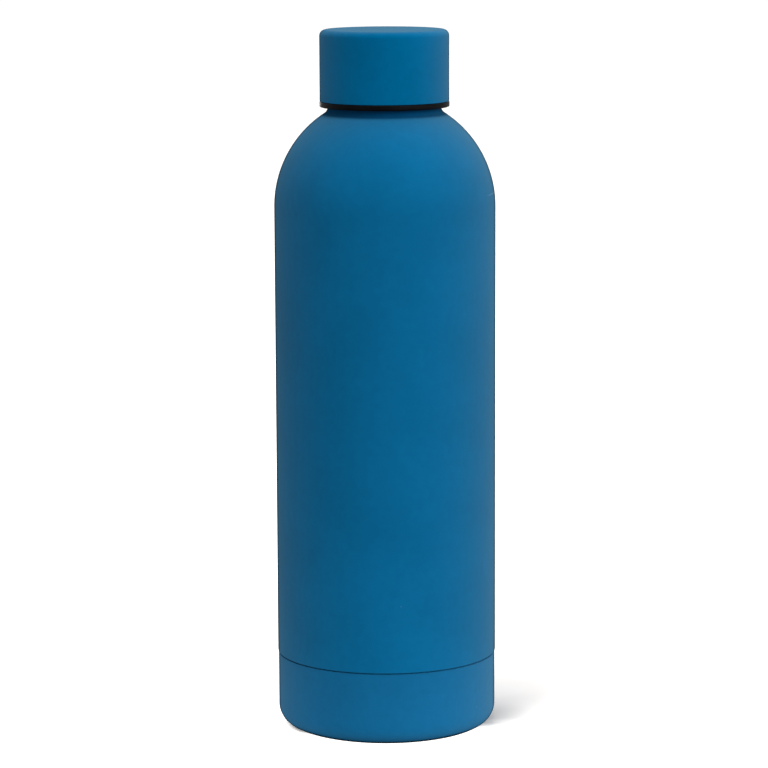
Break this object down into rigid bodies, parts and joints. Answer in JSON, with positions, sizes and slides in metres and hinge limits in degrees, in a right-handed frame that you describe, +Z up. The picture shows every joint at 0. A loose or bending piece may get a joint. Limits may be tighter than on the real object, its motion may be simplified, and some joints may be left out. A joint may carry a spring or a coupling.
{
  "type": "water bottle",
  "caption": "Slim double-walled insulated steel bottle with a domed shoulder, a short threaded neck, a screw cap with a hanging plug and a separate base cup, in soft-touch blue.",
  "frame": {"origin": "centre of the ring that the bottle stands on, on the table plane", "axes": "+Z up along the bottle's axis, towards the cap; the bottle is turned about Z, so +X and +Y are free choices and the view in the picture looks along +Y"},
  "size_m": [0.07, 0.07, 0.2228],
  "materials": {
    "soft_touch_blue": "matt soft-touch paint on stainless steel",
    "brushed_steel": "fine brushed stainless steel",
    "raw_steel": "unfinished drawn stainless steel",
    "solder_glass": "fused dark solder glass",
    "getter_alloy": "pressed grey powder metal",
    "copper_foil": "thin bright copper foil",
    "black_polypropylene": "moulded satin black polypropylene",
    "silicone": "translucent white food-grade silicone",
    "foam": "white closed-cell foam"
  },
  "bodies": {
    "bottle": {"outer_shell": "soft_touch_blue", "base_cup": "soft_touch_blue", "inner_flask": "brushed_steel", "inner_bottom": "brushed_steel", "outer_bottom": "raw_steel", "seal_glass": "solder_glass", "getter_clip": "raw_steel", "getter": "getter_alloy", "copper_foil": "copper_foil"},
    "seal": {"cap_seal": "silicone"},
    "cap": {"cap_shell": "soft_touch_blue", "cap_liner": "black_polypropylene", "cap_insulation": "foam"}
  },
  "joints": [
    {"name": "cap_lift", "type": "slide", "parent": "bottle", "child": "seal", "axis": [0, 0, 1], "range_m": [0, 0.02]},
    {"name": "cap_turn", "type": "hinge", "parent": "seal", "child": "cap", "pos_m": [0, 0, 0.19855], "axis": [0, 0, 1], "range_deg": [0, 1801]}
  ],
  "couplings": [
    {"joint": "cap_turn", "follows": "cap_lift", "rad_per_m": 1570.8}
  ]
}
